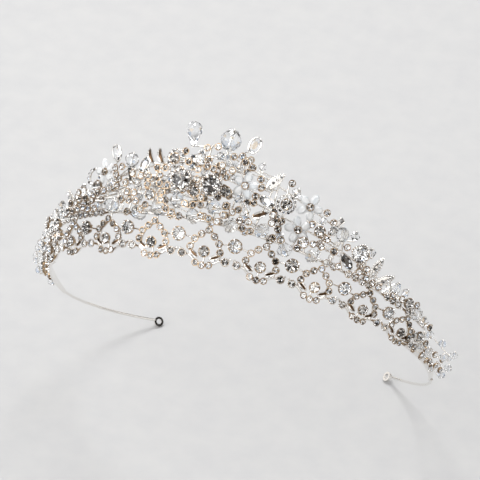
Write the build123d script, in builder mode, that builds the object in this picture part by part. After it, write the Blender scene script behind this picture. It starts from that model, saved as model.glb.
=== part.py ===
from build123d import *
import os
from math import cos, degrees, radians, sin

# Bridal tiara: a wire-and-crystal crown on an open band with two wire arms.
#
# Frame: the tiara stands as it is worn, +Z up, the wearer facing -Y, +X to the side. The origin is the centre
# of the band's circle. Every ornament is placed on the ornament face, a cone that leans outwards from the
# band circle: "around" is the angle round the head in degrees, "up" is the distance up the face and "proud"
# is the distance out of it, both in millimetres.

os.makedirs("parts", exist_ok=True)

# Band and attitude
band_radius = 71.0
face_flare = 18.0
worn_tilt = 55.0
plate_start_angle = 66.0
plate_end_angle = 100.0
arm_end_angle = 141.0
arm_rise = 9.5
arm_wire_radius = 0.5
arm_foot_rise = 1.0
arm_bend = 12.0
plate_start_width = 7.0
plate_end_width = 1.3
plate_thickness = 0.8
eyelet_bore_radius = 1.0
eyelet_outer_radius = 1.8
eyelet_thickness = 1.0

# Gallery of arches
motif_step = 15.5
motifs_each_side = 4
end_motif_scale = 0.72
frame_wire_radius = 0.5
arch_stone_size = 2.1
heart_stone_size = 3.6
span_stone_size = 4.6
rim_stone_size = 2.0
drop_stone_size = 2.4
swag_leaf_length = 4.4
swag_leaf_width = 1.6
link_radius = 0.3

# Spray above the gallery
crest_height = 45.0
crest_end_height = 9.0
crest_end_angle = 85.0
crest_fall = 1.3
rail_height = 14.6
rail_radius = 0.55
back = -0.4
stem_radius = 0.35
post_radius = 0.25
pin_end = 0.4
pin_radius = 0.3
stem_pitch = 3.6
stem_limit = 66.0
stem_lean = 3.2
vine_stone_size = 2.2
vine_pitch = 2.8

# Stones in cups
cup_wall = 0.2
cup_floor = 0.3
cup_depth_share = 0.42
stone_height_share = 0.6


band_frame = Rot(-worn_tilt, 0, 0)


def seat(around, up, proud=0.0, spin=0.0):
    """A place on the ornament face: x along the band, y up the face and z straight out of it."""
    at_rim = band_frame * Rot(0, 0, around) * Pos(0, -band_radius, 0) * Rot(90 + face_flare, 0, 0)
    return at_rim * Pos(0, up, proud) * Rot(0, 0, spin)


def motif_scale(around):
    """Motifs shrink a little from the front to the ends."""
    share = min(abs(around) / (motif_step * motifs_each_side), 1.3)
    return 1 - (1 - end_motif_scale) * share**1.5


def on_motif(motif, x, y, proud=0.0, spin=0.0):
    """A place on one arch of the gallery, from its own centre line and its lowest point."""
    around = motif * motif_step + degrees(x / band_radius)
    return seat(around, y * motif_scale(around), proud, spin)


def crest(around):
    """Height of the spray's outline, highest over the forehead."""
    share = max(0.0, 1 - abs(around) / crest_end_angle)
    return crest_end_height + (crest_height - crest_end_height) * share**crest_fall


def rail(around):
    """Height of the wire that the spray grows from, just above the arches."""
    return rail_height * motif_scale(around)


def claw_cup(size):
    """An open cup with a flat floor, its back on the seat."""
    outer = size / 2 + cup_wall
    depth = cup_floor + size * cup_depth_share
    with BuildPart() as cup:
        Cylinder(outer, depth, align=(Align.CENTER, Align.CENTER, Align.MIN))
        with Locations((0, 0, cup_floor)):
            Cylinder(size / 2, depth, align=(Align.CENTER, Align.CENTER, Align.MIN), mode=Mode.SUBTRACT)
    return cup.part


def round_stone(size):
    """A round cut stone, its point on the cup's floor and its table facing out."""
    half = size / 2
    girdle = cup_floor + size * cup_depth_share * 0.8
    top = cup_floor + size * stone_height_share
    with BuildPart() as stone:
        with BuildSketch(Plane.XZ):
            with BuildLine():
                Polyline(
                    (0, cup_floor),
                    (half * 0.25, cup_floor),
                    (half, girdle),
                    (half, girdle + size * 0.06),
                    (half * 0.6, top),
                    (0, top),
                    close=True,
                )
            make_face()
        revolve(axis=Axis.Z)
    return stone.part


def bead(width, length, waist=0.34):
    """A drilled bead along y, faceted like a barrel, or with a waist of 0 a bicone with pointed sides."""
    hole = pin_radius
    shoulder = hole + (width / 2 - hole) * 0.45
    with BuildPart() as solid:
        with BuildSketch(Plane.XY):
            with BuildLine():
                if waist > 0:
                    Polyline(
                        (shoulder, -length / 2),
                        (width / 2, -length * waist / 2),
                        (width / 2, length * waist / 2),
                        (shoulder, length / 2),
                    )
                else:
                    Polyline((shoulder, -length / 2), (width / 2, 0), (shoulder, length / 2))
                Polyline((shoulder, length / 2), (hole, length / 2), (hole, -length / 2), (shoulder, -length / 2))
            make_face()
        revolve(axis=Axis.Y)
    return solid.part


def leaf_plate(length, width, thickness):
    """A pointed leaf lying on the seat, from its stalk at the seat up along y."""
    with BuildPart() as leaf:
        with BuildSketch(Plane.XY):
            with BuildLine():
                ThreePointArc((0, 0), (width / 2, length * 0.45), (0, length))
                ThreePointArc((0, length), (-width / 2, length * 0.45), (0, 0))
            make_face()
        extrude(amount=thickness)
    return leaf.part


def petal_ring(petals, inner, length, width, thickness):
    """A flower's separate petals round an open centre."""
    with BuildPart() as flower:
        with BuildSketch(Plane.XY):
            with PolarLocations(inner + length / 2, petals):
                Ellipse(length / 2, width / 2)
        extrude(amount=thickness)
    return flower.part


def flat_ring(size, wire):
    """An open round link lying on the seat."""
    with BuildPart() as ring:
        with BuildSketch(Plane.XY):
            Circle(size / 2)
            Circle(size / 2 - wire, mode=Mode.SUBTRACT)
        extrude(amount=wire)
    return ring.part


def tray(outline_of, size, depth):
    """A shallow open setting with the outline that outline_of draws, and its flat floor on the seat."""
    with BuildPart() as setting:
        with BuildSketch(Plane.XY):
            outline_of(size, cup_wall)
        extrude(amount=depth)
        with BuildSketch(Plane.XY.offset(cup_floor)):
            outline_of(size, 0)
        extrude(amount=depth, mode=Mode.SUBTRACT)
    return setting.part


def flat_stone(outline_of, size, height):
    """A long cut stone that fills a tray and stands out of it with a tapered crown."""
    with BuildPart() as stone:
        with BuildSketch(Plane.XY.offset(cup_floor)):
            outline_of(size, 0)
        extrude(amount=height, taper=12)
    return stone.part


def baguette_outline(size, margin):
    """A long rectangle with its long side up the seat."""
    Rectangle(size[0] + 2 * margin, size[1] + 2 * margin)


def navette_outline(size, margin):
    """A pointed oval with its points up and down the seat."""
    half_width, half_length = size[0] / 2 + margin, size[1] / 2 + 2 * margin
    arc_radius = (half_width**2 + half_length**2) / (2 * half_width)
    with Locations((arc_radius - half_width, 0)):
        Circle(arc_radius)
    with Locations((half_width - arc_radius, 0)):
        Circle(arc_radius, mode=Mode.INTERSECT)


def teardrop(width, length):
    """A pear-shaped drop, its point on the seat and its round end up along y."""
    ball_centre = length - width / 2
    with BuildPart() as drop:
        with BuildSketch(Plane.XY):
            with BuildLine():
                Line((0, 0), (0.5, 0))
                Spline((0.5, 0), (width * 0.34, ball_centre * 0.55), (width / 2, ball_centre))
                ThreePointArc(
                    (width / 2, ball_centre),
                    (width / 2 * cos(radians(45)), ball_centre + width / 2 * sin(radians(45))),
                    (0, length),
                )
                Line((0, length), (0, 0))
            make_face()
        revolve(axis=Axis.Y)
    return drop.part


def oval_loop(width, length, wire):
    """An upright oval link, standing up from its stalk along y."""
    with BuildPart() as loop:
        with BuildSketch(Plane.XY):
            with Locations((0, length / 2)):
                Ellipse(width / 2, length / 2)
                Ellipse(width / 2 - wire, length / 2 - wire, mode=Mode.SUBTRACT)
        extrude(amount=wire)
    return loop.part


def tube(points, radius, bend):
    """A round wire along straight runs joined by arcs."""
    with BuildPart() as wire:
        with BuildLine() as path:
            FilletPolyline(*points, radius=bend)
        with BuildSketch(Plane(origin=path.line @ 0, z_dir=path.line % 0)):
            Circle(radius)
        sweep()
    return wire.part


def straight_wire(start, end, radius):
    """A straight round wire between two points."""
    run = end - start
    with BuildPart() as wire:
        with BuildSketch(Plane(origin=start, z_dir=run)):
            Circle(radius)
        extrude(amount=run.length)
    return wire.part


def write(solids, name):
    """Label one sub-part, made of one or more separate solids, and write its file."""
    with BuildPart() as node:
        add(solids)
    node.part.label = name
    export_step(node.part, f"parts/{name}.step")


def write_copies(master, seats, name):
    """The same piece at every seat, as one sub-part."""
    with BuildPart() as node:
        with Locations(*seats):
            add(master)
    node.part.label = name
    export_step(node.part, f"parts/{name}.step")


# The pieces of the spray that stand out of the crowd: around, up, proud and spin
large_spots = [(-8.5, 27.0, 3.5, 0), (-1.0, 27.0, 3.5, 0)]
medium_spots = [
    (-5.3, 23.8, 2.6, 0),
    (2.4, 26.0, 3.0, 0),
    (-17.3, 20.3, 1.6, 0),
    (-34.7, 22.0, 1.6, 0),
    (-54.2, 10.5, 1.0, 0),
    (26.7, 22.4, 2.0, 0),
    (23.8, 16.9, 1.4, 0),
    (58.5, 13.2, 1.2, 0),
    (-12.2, 33.7, 1.2, 0),
    (17.0, 27.4, 1.2, 0),
]
ring_spots = [(-12.2, 33.7, 0.4, 0), (17.0, 27.4, 0.4, 0), (-37.5, 25.0, 0.4, 0)]
oval_loop_spots = [(5.4, 40.6, 1.0, -18), (-29.0, 30.5, 1.0, 20)]
polished_leaf_spots = [(-17.9, 30.6, 1.2, 32), (-15.2, 31.0, 1.2, 30), (9.6, 19.6, 2.4, -58)]
pave_leaf_spots = [(11.0, 30.2, 1.0, -38), (44.2, 14.4, 1.0, -12), (46.2, 13.0, 1.0, -48), (-46.0, 14.4, 1.0, 30)]
baguette_spots = [
    (-19.2, 26.6, 1.6, 12),
    (-15.9, 26.0, 1.6, -8),
    (-24.4, 26.6, 1.0, 18),
    (-7.4, 33.6, 1.4, 4),
    (-3.6, 34.0, 1.4, -10),
    (15.2, 22.6, 1.6, 30),
    (30.4, 27.0, 1.0, -30),
    (-41.0, 20.6, 1.0, 24),
]
navette_spots = [(12.4, 26.4, 1.6, 72), (-20.6, 30.4, 0.8, -30), (36.4, 16.2, 1.0, 60)]
flower_spots = [(6.4, 29.6, 2.4, 10), (22.6, 29.0, 1.0, 0), (-33.2, 27.0, 1.0, 30), (21.6, 20.4, 1.2, 40)]
filigree_spots = [(32.1, 17.8, 1.2, 0), (-26.6, 17.6, 1.2, 0)]
cushion_spots = [(38.2, 20.6, 1.8, 20)]
big_bead_spots = [(32.6, 24.2, 1.2, 20), (-24.8, 31.4, 1.2, -15), (64.0, 11.6, 1.0, 60)]
rondelle_spots = [
    (-0.2, 20.2, 2.2, 85),
    (5.2, 15.2, 1.2, 70),
    (-5.2, 15.4, 1.2, -70),
    (13.2, 16.4, 1.2, 60),
    (-15.3, 16.2, 1.2, -75),
    (20.2, 12.4, 1.0, 40),
    (-21.0, 13.6, 1.0, -50),
    (27.6, 13.8, 1.0, 55),
    (-30.4, 15.6, 1.0, -30),
    (-9.8, 19.8, 2.2, 100),
]
teardrop_spot = (-8.4, 38.4, 1.6, 4)
ball_spot = (0.4, 43.4, 1.6, -8)

large_size, medium_size, small_size = 7.0, 3.6, 2.0
cushion_size, big_bead_size, ball_size = 6.4, 5.0, 7.4
teardrop_width, teardrop_length = 5.6, 9.0
round_width, round_length, bicone_width, bicone_length, oval_width, oval_length = 3.0, 2.6, 3.6, 3.0, 3.2, 4.2
rondelle_width, rondelle_length = 6.0, 4.2
baguette_size, navette_size = (1.7, 4.6), (3.0, 6.0)
loop_width, loop_length = 4.6, 6.4
flower_stone_size, pave_stone_size, pave_leaf_thickness = 2.2, 1.1, 0.7
ring_stone_count, pave_rows = 12, 4
leaf_length, leaf_width = 6.6, 2.1
pave_leaf_length, pave_leaf_width = 8.6, 3.0
ring_size, ring_wire = 6.6, 0.7
filigree_size, flower_petals, flower_petal_length, flower_petal_width = 7.0, 5, 4.0, 2.9

# Space taken by each placed piece, as a ball, so that the small ones keep clear of the rest
taken = []


def take(around, up, proud, radius):
    """Keep a ball of space for one piece."""
    taken.append((seat(around, up, proud).position, radius))


def is_free(around, up, proud, radius):
    """True where a ball of that radius would touch no piece placed so far."""
    here = seat(around, up, proud).position
    return all((here - middle).length > radius + other for middle, other in taken)


for spots, radius in (
    (large_spots, large_size / 2 + 0.4),
    (medium_spots, medium_size / 2 + 0.4),
    (cushion_spots, cushion_size / 2 + 0.4),
    (big_bead_spots, big_bead_size / 2),
    (rondelle_spots, rondelle_width / 2),
    (filigree_spots, filigree_size / 2),
    (flower_spots, flower_petal_length + 0.5),
    (ring_spots, ring_size / 2),
    (navette_spots, navette_size[1] / 2),
    ([ball_spot], ball_size / 2),
):
    for around, up, proud, spin in spots:
        take(around, up, proud + radius / 2, radius)
for spots, length in (
    (polished_leaf_spots, leaf_length),
    (pave_leaf_spots, pave_leaf_length),
    (baguette_spots, baguette_size[1]),
    ([teardrop_spot], teardrop_length),
    (oval_loop_spots, ring_size),
):
    for around, up, proud, spin in spots:
        middle = around - degrees(sin(radians(spin)) * length / 2 / band_radius)
        take(middle, up + cos(radians(spin)) * length / 2, proud, length * 0.42)

# Vine: small stones set close together along the rail
vine_room = vine_stone_size / 2 + cup_wall
vine_step = degrees(vine_pitch / band_radius)
vine_count = int(stem_limit / vine_step)
vine_spots = []
for step in range(-vine_count, vine_count + 1):
    around = step * vine_step
    if is_free(around, rail(around), vine_room, vine_room):
        vine_spots.append((around, rail(around), rail_radius + back, 0))
        take(around, rail(around), vine_room, vine_room)

# End sprigs: round beads and small chatons trailing off along the two end plates
filler_room = {"round": 1.6, "chaton": 1.3, "bicone": 1.85, "oval": 2.1}
filler_end_angle = 74
fillers = {kind: [] for kind in filler_room}
sprig_beads = [
    (68.0, 5.2, 1.8),
    (72.5, 8.6, 2.6),
    (77.5, 4.4, 1.8),
    (79.5, 9.2, 3.4),
    (83.0, 6.0, 4.4),
    (87.0, 9.4, 5.2),
    (89.5, 5.0, 5.0),
    (91.5, 8.6, 2.2),
    (95.5, 3.2, 2.4),
]
sprig_chatons = [(69.8, 1.8), (73.6, 5.4), (75.2, 1.6), (81.2, 1.8), (81.6, 5.0), (86.4, 2.6), (88.2, 6.2), (92.2, 3.6)]
for side in (-1, 1):
    for around, up, proud in sprig_beads:
        fillers["round"].append((side * around, up, proud, side * 50))
        take(side * around, up, proud, filler_room["round"])
    for around, up in sprig_chatons:
        fillers["chaton"].append((side * around, up, 1.2, 0))
        take(side * around, up, 1.2, filler_room["chaton"])

# Small filler pieces: wherever a grid finds room between the rail and the crest, dealt out in turn
def fill(kinds, pitch, layers):
    """Deal out pieces over the rows, columns and layers of a grid with that pitch in millimetres."""
    dealt = 0
    column_step = degrees(pitch / band_radius) * 1.2
    columns = int(filler_end_angle / column_step)
    for layer, proud in enumerate(layers):
        for row in range(int((crest_height - rail_height) / pitch) + 2):
            for column in range(-columns, columns + 1):
                around = (column + 0.5 * (row % 2) + 0.25 * sin(3.1 * column + 1.7 * row)) * column_step
                up = rail(around) + 1.2 + (row + 0.3 * sin(2.3 * column)) * pitch
                kind = kinds[dealt % len(kinds)]
                too_high = up > crest(around) - 1.2 - 3.0 * layer
                too_far = abs(around) > filler_end_angle - 8 * layer
                if too_far or too_high or not is_free(around, up, proud, filler_room[kind]):
                    continue
                fillers[kind].append((around, up, proud, 40 * sin(1.9 * column + row)))
                take(around, up, proud, filler_room[kind])
                dealt += 1


fill(("round", "chaton", "bicone", "chaton", "oval", "round", "chaton"), 1.7, (1.5, 4.0))
fill(("chaton",), 1.1, (0.9, 2.9, 4.6))

# Seats of the gallery's stones
motifs = range(-motifs_each_side, motifs_each_side + 1)
spans = [motif + 0.5 for motif in range(-motifs_each_side - 1, motifs_each_side + 1)]
arch_outline = [(-5.2, 5.2), (-4.2, 8.1), (-2.2, 10.1), (0, 12.0), (2.2, 10.1), (4.2, 8.1), (5.2, 5.2)]
rim_outline = [(-2.4, 0.1), (0, -0.4), (2.4, 0.1)]
arch_spots = [(motif, x, y) for motif in motifs for x, y in arch_outline]
heart_spots = [(motif, 0, 4.4) for motif in motifs]
span_spots = [(motif, 0, 8.8) for motif in spans]
rim_spots = [(motif, x, y) for motif in motifs for x, y in rim_outline]
drop_spots = [(motif, x, 2.5) for motif in motifs for x in (-7.6, 7.6)]
swag_seats = [on_motif(motif, side * 1.9, 2.0, 0.5, -side * 60) for motif in motifs for side in (-1, 1)]

# Band: end plates, wire arms and eyelets
for side, name in ((-1, "left"), (1, "right")):
    with BuildPart() as plate:
        sections = 5
        for step in range(sections):
            share = step / (sections - 1)
            around = side * (plate_start_angle + (plate_end_angle - plate_start_angle) * share)
            width = plate_start_width * (1 - share) + plate_end_width * share
            across = seat(around, width / 2 + 0.2, -plate_thickness * 0.75) * Rot(0, 90, 0)
            with BuildSketch(Plane(across)):
                Rectangle(plate_thickness, width)
        loft()
    write(plate.part, f"{name}_end_plate")

    arm_steps = 7
    arm_points = []
    for step in range(arm_steps):
        share = step / (arm_steps - 1)
        around = side * (plate_end_angle - 1 + (arm_end_angle - plate_end_angle - 0.3) * share)
        rise = arm_foot_rise + (arm_rise - arm_foot_rise) * share**1.4
        radial = band_frame * Rot(0, 0, around) * Pos(0, -band_radius, rise)
        arm_points.append(radial.position)
    write(tube(arm_points, arm_wire_radius, arm_bend), f"{name}_wire_arm")

    loop_centre = band_frame * Rot(0, 0, side * arm_end_angle) * Pos(0, -band_radius, arm_rise)
    with BuildPart() as eyelet:
        with BuildSketch(Plane(loop_centre * Rot(90, 0, 0))):
            Circle(eyelet_outer_radius)
            Circle(eyelet_bore_radius, mode=Mode.SUBTRACT)
        extrude(amount=eyelet_thickness / 2, both=True)
    write(eyelet.part, f"{name}_end_eyelet")

# Gallery frames: an arch and a scalloped swag for each motif, and the rail above them
arch_wires, swag_wires = [], []
for motif in motifs:
    arch_path = [(-5.1, 2.2), *arch_outline, (5.1, 2.2)]
    swag_half = [(2.4, 0.1), (5.0, 2.1), (7.6, 2.7), (9.2, 4.0)]
    swag_path = [(-x, y) for x, y in reversed(swag_half)] + [(0, -0.3)] + swag_half
    arch_wires.append(tube([on_motif(motif, x, y).position for x, y in arch_path], frame_wire_radius, 0.9))
    swag_wires.append(tube([on_motif(motif, x, y).position for x, y in swag_path], frame_wire_radius, 0.9))
write(arch_wires, "arch_frames")
write(swag_wires, "swag_frames")
links = []
for motif in motifs:
    arch_top = on_motif(motif, 0, arch_outline[3][1]).position
    rail_above = seat(motif * motif_step, rail(motif * motif_step), back).position
    links.append(straight_wire(arch_top, rail_above, link_radius))
    links.append(straight_wire(on_motif(motif, 0, -0.3).position, on_motif(motif, 0, 4.4).position, link_radius))
for motif, x, y in span_spots:
    span_back = on_motif(motif, 0, y).position
    for side, reach in ((-1, 4.2), (1, -4.2)):
        neighbour = motif + side / 2
        if abs(neighbour) <= motifs_each_side:
            links.append(straight_wire(on_motif(neighbour, reach, 8.1).position, span_back, link_radius))
write(links, "gallery_links")
rail_angles = range(-72, 73, 6)
rail_points = [seat(around, rail(around), back).position for around in rail_angles]
write(tube(rail_points, rail_radius, 9), "spray_rail")

# Gallery stones
for size, spots, cups_name, stones_name in (
    (arch_stone_size, arch_spots, "arch_claw_cups", "arch_stones"),
    (heart_stone_size, heart_spots, "heart_claw_cups", "heart_stones"),
    (span_stone_size, span_spots, "span_claw_cups", "span_stones"),
    (rim_stone_size, rim_spots, "rim_bezels", "rim_stones"),
    (drop_stone_size, drop_spots, "drop_bezels", "drop_stones"),
):
    cups, stones = [], []
    for motif, x, y in spots:
        place = on_motif(motif, x, y, frame_wire_radius)
        stone_size = size * (1 + motif_scale(motif * motif_step)) / 2
        cups.append(place * claw_cup(stone_size))
        stones.append(place * round_stone(stone_size))
    write(cups, cups_name)
    write(stones, stones_name)
write_copies(leaf_plate(swag_leaf_length, swag_leaf_width, 0.7), swag_seats, "swag_leaves")


# Spray
def seats_of(spots):
    """Seats of a list of spray pieces."""
    return [seat(*spot) for spot in spots]


write_copies(claw_cup(large_size), seats_of(large_spots), "solitaire_cups")
write_copies(round_stone(large_size), seats_of(large_spots), "solitaire_stones")
write_copies(claw_cup(medium_size), seats_of(medium_spots), "accent_claw_cups")
write_copies(round_stone(medium_size), seats_of(medium_spots), "accent_stones")
write_copies(claw_cup(small_size), seats_of(fillers["chaton"]), "small_claw_cups")
write_copies(round_stone(small_size), seats_of(fillers["chaton"]), "small_stones")
write_copies(claw_cup(vine_stone_size), seats_of(vine_spots), "vine_claw_cups")
write_copies(round_stone(vine_stone_size), seats_of(vine_spots), "vine_stones")
write_copies(bead(round_width, round_length), seats_of(fillers["round"]), "round_beads")
write_copies(bead(bicone_width, bicone_length, 0), seats_of(fillers["bicone"]), "bicone_beads")
write_copies(bead(oval_width, oval_length), seats_of(fillers["oval"]), "oval_beads")
write_copies(bead(rondelle_width, rondelle_length), seats_of(rondelle_spots), "crystal_rondelles")
write_copies(bead(big_bead_size, big_bead_size), seats_of(big_bead_spots), "large_round_beads")
write_copies(flat_ring(ring_size, ring_wire), seats_of(ring_spots), "ring_links")
write_copies(leaf_plate(leaf_length, leaf_width, 0.6), seats_of(polished_leaf_spots), "polished_leaves")
write_copies(leaf_plate(pave_leaf_length, pave_leaf_width, 0.7), seats_of(pave_leaf_spots), "pave_leaves")
write_copies(
    petal_ring(flower_petals, 0.9, flower_petal_length, flower_petal_width, 1.0),
    seats_of(flower_spots),
    "crystal_petals",
)
write_copies(petal_ring(4, 0.9, 2.6, 1.9, 0.7), seats_of(filigree_spots), "filigree_flowers")
write_copies(claw_cup(cushion_size), seats_of(cushion_spots), "cushion_cup")
write_copies(round_stone(cushion_size), seats_of(cushion_spots), "cushion_stone")
write_copies(tray(baguette_outline, baguette_size, 1.0), seats_of(baguette_spots), "baguette_settings")
write_copies(flat_stone(baguette_outline, baguette_size, 1.2), seats_of(baguette_spots), "baguette_stones")
write_copies(tray(navette_outline, navette_size, 1.0), seats_of(navette_spots), "navette_settings")
write_copies(flat_stone(navette_outline, navette_size, 1.3), seats_of(navette_spots), "navette_stones")
write_copies(oval_loop(loop_width, loop_length, 0.7), seats_of(oval_loop_spots), "oval_loops")
write_copies(teardrop(teardrop_width, teardrop_length), seats_of([teardrop_spot]), "crown_teardrop")
write_copies(bead(ball_size, ball_size * 0.98), seats_of([ball_spot]), "crown_ball")

# Stones on the petals' centres, the ring links and the pave leaves
flower_centre_seats = seats_of(flower_spots + filigree_spots)
write_copies(claw_cup(flower_stone_size), flower_centre_seats, "flower_claw_cups")
write_copies(round_stone(flower_stone_size), flower_centre_seats, "flower_stones")
bead_stone = round_stone(pave_stone_size)
ring_radius = (ring_size - ring_wire) / 2
ring_stone_seats = []
for around, up, proud, spin in ring_spots:
    for stone in range(ring_stone_count):
        turn = Rot(0, 0, stone * 360 / ring_stone_count) * Pos(ring_radius, 0, ring_wire - cup_floor)
        ring_stone_seats.append(seat(around, up, proud, spin) * turn)
write_copies(bead_stone, ring_stone_seats, "ring_stones")
pave_seats = []
for spot in pave_leaf_spots:
    for step in range(pave_rows):
        y = pave_leaf_length * (step + 1.1) / (pave_rows + 1)
        pave_seats.append(seat(*spot) * Pos(0, y, pave_leaf_thickness - cup_floor))
write_copies(bead_stone, pave_seats, "pave_stones")

# Stems up the back, leaning to and fro, cross wires that tie them, and a short post to the back of each piece
stems, posts = [], []
stem_lines = []
stem_count = int(stem_limit / stem_pitch)
for step in range(-stem_count, stem_count + 1):
    around = step * stem_pitch
    lean = stem_lean * sin(2.4 * step)
    foot = seat(around, rail(around), back).position
    tip = seat(around + lean, crest(around + lean) - 2.5, back).position
    stem_lines.append((foot, tip))
    stems.append(straight_wire(foot, tip, stem_radius))
write(stems, "spray_stems")


used_feet = []


def foot_on_stems(point):
    """The nearest point on a stem that leaves room beside the posts already there."""
    found = []
    for low, high in stem_lines:
        run = high - low
        share = min(max((point - low).dot(run) / run.length**2, 0.0), 1.0)
        found.append(low + run * share)
    found.sort(key=lambda place: (point - place).length)
    clear = [place for place in found if all((place - used).length > 3 * post_radius for used in used_feet)]
    used_feet.append(clear[0])
    return clear[0]


for share, name in ((0.4, "lower_cross_wire"), (0.78, "upper_cross_wire")):
    limit = 66 - 36 * (share > 0.5)
    cross_points = []
    for around in range(-limit, limit + 1, 6):
        up = rail(around) + (crest(around) - rail(around)) * share
        cross_points.append(seat(around, up, back - 2 * stem_radius).position)
    write(tube(cross_points, stem_radius, 8), name)
for spots, lift in (
    (large_spots + medium_spots + cushion_spots, 0),
    (navette_spots + baguette_spots + flower_spots + filigree_spots + fillers["chaton"], 0),
    (ring_spots, -ring_radius),
    (polished_leaf_spots + pave_leaf_spots + oval_loop_spots + [teardrop_spot], 0.6),
    ([ball_spot], -ball_size / 2 - pin_end),
    (big_bead_spots, -big_bead_size / 2 - pin_end),
    (rondelle_spots, -rondelle_length / 2 - pin_end),
    (fillers["round"], -round_length / 2 - pin_end),
    (fillers["bicone"], -bicone_length / 2 - pin_end),
    (fillers["oval"], -oval_length / 2 - pin_end),
):
    for around, up, proud, spin in spots:
        hold = (seat(around, up, proud, spin) * Pos(0, lift, 0)).position
        foot = foot_on_stems(hold) if abs(around) < stem_limit else seat(around, up, -0.2).position
        if (hold - foot).length > 2 * post_radius:
            posts.append(straight_wire(foot, hold, post_radius))
pins = []
for spots, length in (
    ([ball_spot], ball_size),
    (big_bead_spots, big_bead_size),
    (rondelle_spots, rondelle_length),
    (fillers["round"], round_length),
    (fillers["bicone"], bicone_length),
    (fillers["oval"], oval_length),
):
    for spot in spots:
        low = (seat(*spot) * Pos(0, -length / 2 - pin_end, 0)).position
        high = (seat(*spot) * Pos(0, length / 2 + pin_end, 0)).position
        pins.append(straight_wire(low, high, pin_radius))
write(pins, "bead_pins")
write(posts, "spray_posts")
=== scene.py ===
import math
import random

import bmesh
import bpy
import numpy as np
from bpy.props import FloatProperty, FloatVectorProperty, IntProperty, PointerProperty, StringProperty
from mathutils import Matrix, Vector


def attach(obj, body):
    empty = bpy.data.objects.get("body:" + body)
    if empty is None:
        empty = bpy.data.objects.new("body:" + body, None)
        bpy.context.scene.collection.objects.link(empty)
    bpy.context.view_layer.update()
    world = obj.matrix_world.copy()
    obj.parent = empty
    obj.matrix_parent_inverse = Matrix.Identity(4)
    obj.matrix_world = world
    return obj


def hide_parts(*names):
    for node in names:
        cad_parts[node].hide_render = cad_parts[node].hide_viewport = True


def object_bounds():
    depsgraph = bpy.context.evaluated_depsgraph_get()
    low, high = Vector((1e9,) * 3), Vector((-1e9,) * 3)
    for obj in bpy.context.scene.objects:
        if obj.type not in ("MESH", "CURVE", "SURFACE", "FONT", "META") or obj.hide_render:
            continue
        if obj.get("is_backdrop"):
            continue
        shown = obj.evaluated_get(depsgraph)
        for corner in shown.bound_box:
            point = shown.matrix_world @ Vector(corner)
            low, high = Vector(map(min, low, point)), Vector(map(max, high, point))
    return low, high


bl_info = {
    "name": "Bridal Tiara",
    "version": (1, 0, 0),
    "blender": (4, 5, 0),
    "location": "View3D > Sidebar > Tiara",
    "description": "Cut crystals, claw settings, beads, leaves and wire of a silver-plated bridal tiara",
    "category": "Object",
}

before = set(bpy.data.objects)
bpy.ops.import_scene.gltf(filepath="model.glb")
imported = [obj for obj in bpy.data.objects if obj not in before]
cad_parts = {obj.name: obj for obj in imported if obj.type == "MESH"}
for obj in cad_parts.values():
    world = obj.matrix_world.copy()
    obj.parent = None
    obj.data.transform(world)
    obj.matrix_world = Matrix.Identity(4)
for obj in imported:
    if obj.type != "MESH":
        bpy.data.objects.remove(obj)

MM = 0.001
BODY = "root"
# How square the cushion stone and its cup are: 2 is round, and more is squarer
CUSHION_POWER = 3.2


# Settings that a user would change

class TIARA_PG_face(bpy.types.PropertyGroup):
    """The attitude of the ornament face, a cone that leans outwards from the band's circle"""

    worn_tilt: FloatProperty(
        name="Worn tilt", description="How far back the band's circle leans on the head",
        default=math.radians(55), subtype="ANGLE")
    flare: FloatProperty(
        name="Flare", description="How far the ornament face leans out from the band's circle",
        default=math.radians(18), subtype="ANGLE")


class TIARA_PG_metal(bpy.types.PropertyGroup):
    """Colours and sizes of the silver-plated work"""

    bright: StringProperty(
        name="Bright plate", description="sRGB colour of polished silver plate", default="#DFCFB9")
    warm: StringProperty(
        name="Warm plate", description="sRGB colour of plate that has started to warm", default="#B49C7E")
    # Painted shade: a dark brown laid into the plate inside the settings and down the leaf grooves, in place
    # of the shade that falls there
    painted_recess_shade: StringProperty(
        name="Recess", description="sRGB colour of the dull plate inside a setting", default="#5E4B3A")
    claw_width: FloatProperty(
        name="Claw width", description="Thickness of one claw, as a share of its stone",
        default=0.12, min=0.02, max=0.2)
    bead_grain: FloatProperty(
        name="Grain size", description="Radius of one grain of a beaded edge, in millimetres",
        default=0.27, min=0.1, max=0.6)


class TIARA_PG_crystal(bpy.types.PropertyGroup):
    """Colours and cut of the stones and beads"""

    clear: StringProperty(name="Clear", description="sRGB colour of clear crystal", default="#FBFCFD")
    # Painted fire: these colours stand in for flashes of dispersion and are given to facets picked at random
    painted_fire_cool: StringProperty(
        name="Cool fire", description="sRGB colour of a cool flash", default="#BFD4F2")
    painted_fire_warm: StringProperty(
        name="Warm fire", description="sRGB colour of a warm flash", default="#F3D9B8")
    # Painted shade: foil facets picked at random take this dark colour in place of the shade they would
    # mirror
    painted_foil_shade: StringProperty(
        name="Foil shade", description="sRGB colour of foil that faces away from the light",
        default="#4A433D")
    table: FloatProperty(
        name="Table", description="Width of a stone's table as a share of the stone",
        default=0.56, min=0.3, max=0.8)
    bead_sides: IntProperty(
        name="Bead sides", description="Facets round one bead", default=8, min=5, max=16)


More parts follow.
